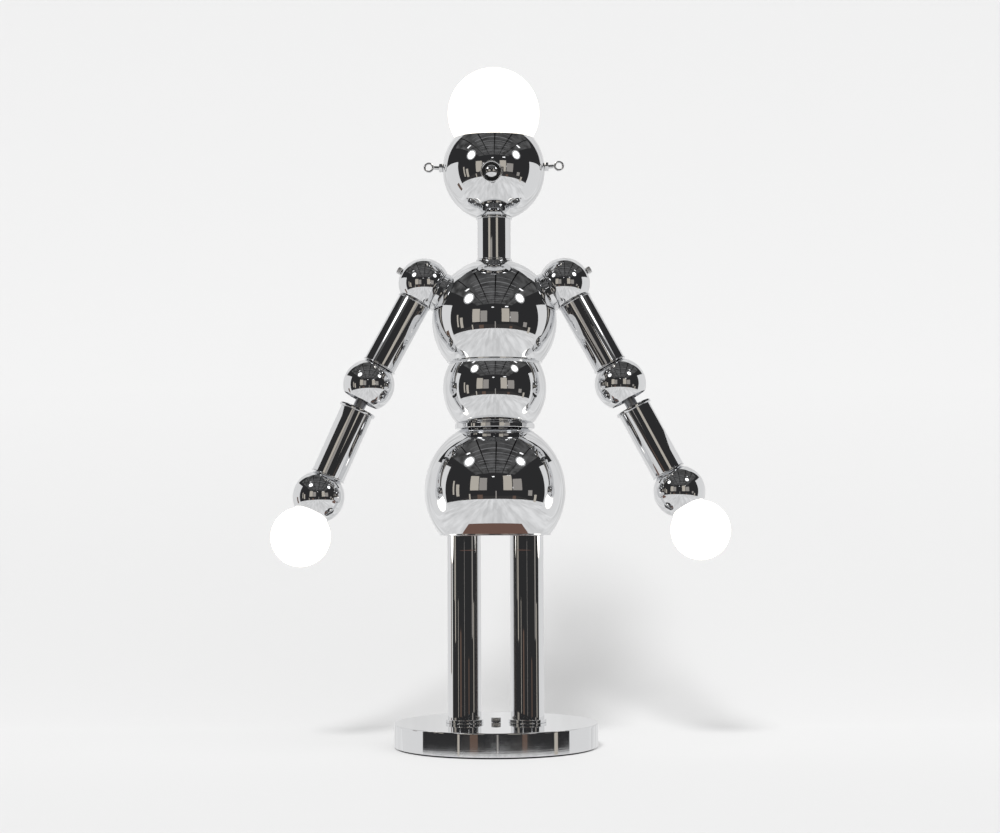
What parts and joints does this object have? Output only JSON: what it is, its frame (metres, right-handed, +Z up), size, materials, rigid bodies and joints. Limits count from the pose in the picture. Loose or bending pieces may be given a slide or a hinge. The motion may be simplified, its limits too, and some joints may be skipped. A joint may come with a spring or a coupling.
{
  "type": "robot shaped desk lamp",
  "caption": "Free-standing chrome table lamp shaped as a simple robot of balls and tubes, with globe bulbs on head and hands, swinging arms, switch knobs and a push button nose.",
  "frame": {"origin": "centre of the base pad's underside, on the table", "axes": "+Z up through the stacked balls, the nose faces -Y, +X is the right-hand arm as seen from the front"},
  "size_m": [0.563, 0.2515, 0.8428],
  "materials": {
    "chrome_ball": "polished",
    "chrome_tube": "polished",
    "chrome_base": "polished",
    "chrome_trim": "polished",
    "chrome_knob": "polished",
    "cast_iron": "as cast",
    "black_pad": "matt",
    "black_plastic": "matt",
    "steel": "plain",
    "porcelain": "glazed",
    "opal_glass": "opal, lit",
    "wire": "matt"
  },
  "bodies": {
    "stand": {"base_shell": "chrome_base", "base_weight": "cast_iron", "base_pad": "black_pad", "base_switch": "black_plastic", "cord_bushing": "black_plastic", "leg_tubes": "chrome_tube", "leg_rods": "steel", "tube_rings": "chrome_trim", "hip_plate": "steel", "hip_ball": "chrome_ball", "waist_ring": "chrome_trim", "waist_ball": "chrome_ball", "chest_plate": "steel", "chest_ball": "chrome_ball", "neck_tube": "chrome_tube", "torso_pipe": "steel", "locknuts": "steel", "shoulder_collars": "chrome_trim", "shoulder_nipples": "steel", "lamp_leads": "wire", "head_socket": "porcelain", "head_bulb": "opal_glass"},
    "base_dial": {"base_knob": "chrome_knob"},
    "head": {"head_ball": "chrome_ball", "nose_switch": "black_plastic", "head_lead": "wire", "ear_nuts": "chrome_trim"},
    "nose": {"nose_button": "chrome_knob"},
    "ear_left": {"ear_screw_left": "chrome_trim"},
    "ear_right": {"ear_screw_right": "chrome_trim"},
    "arm_left": {"shoulder_ball_left": "chrome_ball", "shoulder_switch_left": "black_plastic", "upper_arm_tube_left": "chrome_tube", "upper_arm_caps_left": "chrome_trim", "elbow_ball_left": "chrome_ball", "elbow_fork_left": "steel", "arm_lead_left": "wire"},
    "shoulder_dial_left": {"shoulder_knob_left": "chrome_knob"},
    "forearm_left": {"elbow_tongue_left": "steel", "forearm_tube_left": "chrome_tube", "forearm_caps_left": "chrome_trim", "forearm_lead_left": "wire", "hand_ball_left": "chrome_ball", "hand_socket_left": "porcelain", "hand_bulb_left": "opal_glass"},
    "arm_right": {"shoulder_ball_right": "chrome_ball", "shoulder_switch_right": "black_plastic", "upper_arm_tube_right": "chrome_tube", "upper_arm_caps_right": "chrome_trim", "elbow_ball_right": "chrome_ball", "elbow_fork_right": "steel", "arm_lead_right": "wire"},
    "shoulder_dial_right": {"shoulder_knob_right": "chrome_knob"},
    "forearm_right": {"elbow_tongue_right": "steel", "forearm_tube_right": "chrome_tube", "forearm_caps_right": "chrome_trim", "forearm_lead_right": "wire", "hand_ball_right": "chrome_ball", "hand_socket_right": "porcelain", "hand_bulb_right": "opal_glass"}
  },
  "joints": [
    {"name": "base_knob_turn", "type": "hinge", "parent": "stand", "child": "base_dial", "pos_m": [0, 0, 0.03], "axis": [0, 0, 1], "continuous": true},
    {"name": "head_turn", "type": "hinge", "parent": "stand", "child": "head", "pos_m": [0, 0, 0.71428], "axis": [0, 0, 1], "range_deg": [-90, 90]},
    {"name": "nose_push", "type": "slide", "parent": "head", "child": "nose", "axis": [0.0443, 0.976, 0.213], "range_m": [0, 0.0025], "stiffness_N_per_m": 600, "springref_m": -0.001},
    {"name": "ear_left_turn", "type": "hinge", "parent": "head", "child": "ear_left", "pos_m": [-0.0814, 0.0037, 0.71855], "axis": [-0.9976, 0.0453, 0.0523], "continuous": true},
    {"name": "ear_right_turn", "type": "hinge", "parent": "head", "child": "ear_right", "pos_m": [0.0814, -0.0037, 0.71855], "axis": [0.9976, -0.0453, 0.0523], "continuous": true},
    {"name": "shoulder_left_swing", "type": "hinge", "parent": "stand", "child": "arm_left", "pos_m": [-0.08734, 0, 0.57143], "axis": [-0.8805, 0, 0.4741], "range_deg": [-90, 90]},
    {"name": "shoulder_left_knob_turn", "type": "hinge", "parent": "arm_left", "child": "shoulder_dial_left", "pos_m": [-0.1153, 0, 0.58648], "axis": [-0.8805, 0, 0.4741], "continuous": true},
    {"name": "elbow_left_bend", "type": "hinge", "parent": "arm_left", "child": "forearm_left", "pos_m": [-0.15552, -0.00754, 0.44482], "axis": [-0.0248, 0.9986, -0.0461], "range_deg": [-26, 26]},
    {"name": "shoulder_right_swing", "type": "hinge", "parent": "stand", "child": "arm_right", "pos_m": [0.08734, 0, 0.57143], "axis": [0.8805, 0, 0.4741], "range_deg": [-90, 90]},
    {"name": "shoulder_right_knob_turn", "type": "hinge", "parent": "arm_right", "child": "shoulder_dial_right", "pos_m": [0.1153, 0, 0.58648], "axis": [0.8805, 0, 0.4741], "continuous": true},
    {"name": "elbow_right_bend", "type": "hinge", "parent": "arm_right", "child": "forearm_right", "pos_m": [0.15552, -0.00754, 0.44482], "axis": [0.0248, 0.9986, -0.0461], "range_deg": [-26, 26]}
  ]
}
